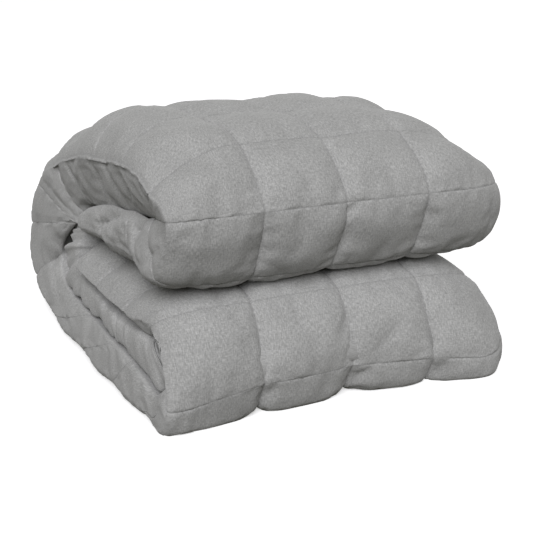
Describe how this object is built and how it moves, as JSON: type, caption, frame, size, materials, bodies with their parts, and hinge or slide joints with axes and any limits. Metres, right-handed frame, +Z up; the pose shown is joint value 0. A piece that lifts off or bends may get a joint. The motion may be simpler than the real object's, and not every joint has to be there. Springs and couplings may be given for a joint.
{
  "type": "weighted blanket",
  "caption": "Folded quilted weighted blanket lying flat, soft front folds, one wide back fold, warm resting weight for a bed or sofa.",
  "frame": {"origin": "centre of the folded blanket's footprint, on the surface that it lies on", "axes": "+Z up, +Y from the two front folds towards the wide back fold, +X towards the closed right end, with the folded edge and the flap's hem at -X"},
  "size_m": [0.4642, 0.5862, 0.3104],
  "materials": {
    "cloth": "soft brushed weave, mid grey, matt"
  },
  "bodies": {
    "root": {"blanket": "cloth"}
  },
  "joints": []
}
